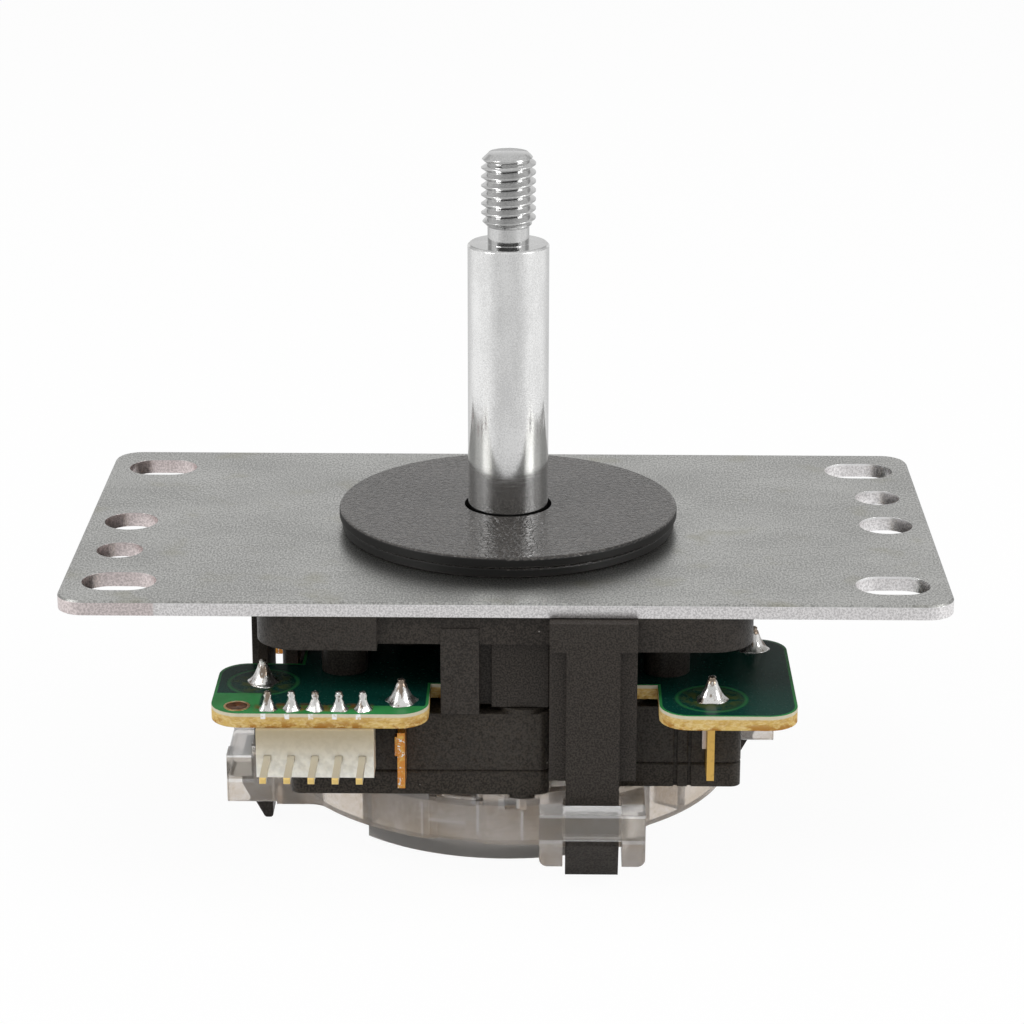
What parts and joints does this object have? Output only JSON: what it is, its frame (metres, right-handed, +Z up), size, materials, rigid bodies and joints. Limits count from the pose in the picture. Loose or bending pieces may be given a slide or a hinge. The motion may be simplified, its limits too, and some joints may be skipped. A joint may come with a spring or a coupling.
{
  "type": "arcade joystick",
  "caption": "Arcade joystick: chromed lever on a flat slotted mounting plate, snap action switches under a black housing, and a clear restrictor gate below.",
  "frame": {"origin": "where the lever's axis meets the upper face of the mounting plate, the centre of its slots", "axes": "+Z up along the lever at rest, +X to the right along the plate's long side, -Y to the front, the header's side"},
  "size_m": [0.095, 0.0685, 0.0737],
  "materials": {
    "plate_steel": "satin, brushed along the plate, bright cut edges",
    "shaft_chrome": "polished",
    "black_moulding": "fine moulded grain",
    "washer_plastic": "slightly shiny, creased surface",
    "black_switch": "fine moulded grain",
    "plunger_plastic": "plain",
    "board_mask": "glossy green lacquer",
    "terminal_brass": "dull plated",
    "solder": "bright cast solder",
    "white_nylon": "slightly translucent",
    "clear_gate": "smoke tinted clear",
    "nylon_pivot": "plain",
    "spring_steel": "bright wire",
    "screw_steel": "plain plated"
  },
  "bodies": {
    "base": {"mounting_plate": "plate_steel", "plate_screws": "screw_steel", "spring_seat": "spring_steel", "centring_spring": "spring_steel", "housing": "black_moulding", "circuit_board": "board_mask", "header_body": "white_nylon", "header_pins": "terminal_brass", "solder_joints": "solder", "restrictor_gate": "clear_gate", "gate_insert": "clear_gate", "switch_case_front": "black_switch", "switch_cover_front": "black_switch", "switch_terminals_front": "terminal_brass", "switch_case_right": "black_switch", "switch_cover_right": "black_switch", "switch_terminals_right": "terminal_brass", "switch_case_rear": "black_switch", "switch_cover_rear": "black_switch", "switch_terminals_rear": "terminal_brass", "switch_case_left": "black_switch", "switch_cover_left": "black_switch", "switch_terminals_left": "terminal_brass"},
    "liner": {"pivot_liner": "nylon_pivot"},
    "lever": {"pivot_ball": "nylon_pivot", "actuator": "black_moulding"},
    "shaft": {"lever_shaft": "shaft_chrome", "e_clip": "spring_steel"},
    "lower_washer": {"lower_dust_washer": "washer_plastic"},
    "upper_washer": {"upper_dust_washer": "washer_plastic"},
    "plunger_front": {"plunger_front": "plunger_plastic"},
    "plunger_right": {"plunger_right": "plunger_plastic"},
    "plunger_rear": {"plunger_rear": "plunger_plastic"},
    "plunger_left": {"plunger_left": "plunger_plastic"}
  },
  "joints": [
    {"name": "lean_front_back", "type": "hinge", "parent": "base", "child": "liner", "pos_m": [0, 0, -0.006], "axis": [1, 0, 0], "range_deg": [-8, 8], "stiffness_Nm_per_rad": 0.6, "deforming": ["centring_spring"]},
    {"name": "lean_left_right", "type": "hinge", "parent": "liner", "child": "lever", "pos_m": [0, 0, -0.006], "axis": [0, 1, 0], "range_deg": [-8, 8], "stiffness_Nm_per_rad": 0.6},
    {"name": "shaft_spin", "type": "hinge", "parent": "lever", "child": "shaft", "pos_m": [0, 0, -0.006], "axis": [0, 0, 1], "continuous": true},
    {"name": "lower_washer_slide", "type": "slide", "parent": "base", "child": "lower_washer", "axis": [1, 0, 0], "range_m": [-0.0012, 0.0012]},
    {"name": "upper_washer_slide", "type": "slide", "parent": "lower_washer", "child": "upper_washer", "axis": [0, 1, 0], "range_m": [-0.0012, 0.0012]},
    {"name": "press_front", "type": "slide", "parent": "base", "child": "plunger_front", "axis": [0, -1, 0], "range_m": [-0.0016, 0.0016]},
    {"name": "press_right", "type": "slide", "parent": "base", "child": "plunger_right", "axis": [1, 0, 0], "range_m": [-0.0016, 0.0016]},
    {"name": "press_rear", "type": "slide", "parent": "base", "child": "plunger_rear", "axis": [0, 1, 0], "range_m": [-0.0016, 0.0016]},
    {"name": "press_left", "type": "slide", "parent": "base", "child": "plunger_left", "axis": [-1, 0, 0], "range_m": [-0.0016, 0.0016]}
  ],
  "couplings": [
    {"joint": "lower_washer_slide", "follows": "lean_left_right", "m_per_rad": 0.0078},
    {"joint": "upper_washer_slide", "follows": "lean_front_back", "m_per_rad": -0.0078},
    {"joint": "press_front", "follows": "lean_front_back", "m_per_rad": -0.01075},
    {"joint": "press_right", "follows": "lean_left_right", "m_per_rad": -0.01075},
    {"joint": "press_rear", "follows": "lean_front_back", "m_per_rad": 0.01075},
    {"joint": "press_left", "follows": "lean_left_right", "m_per_rad": 0.01075}
  ]
}
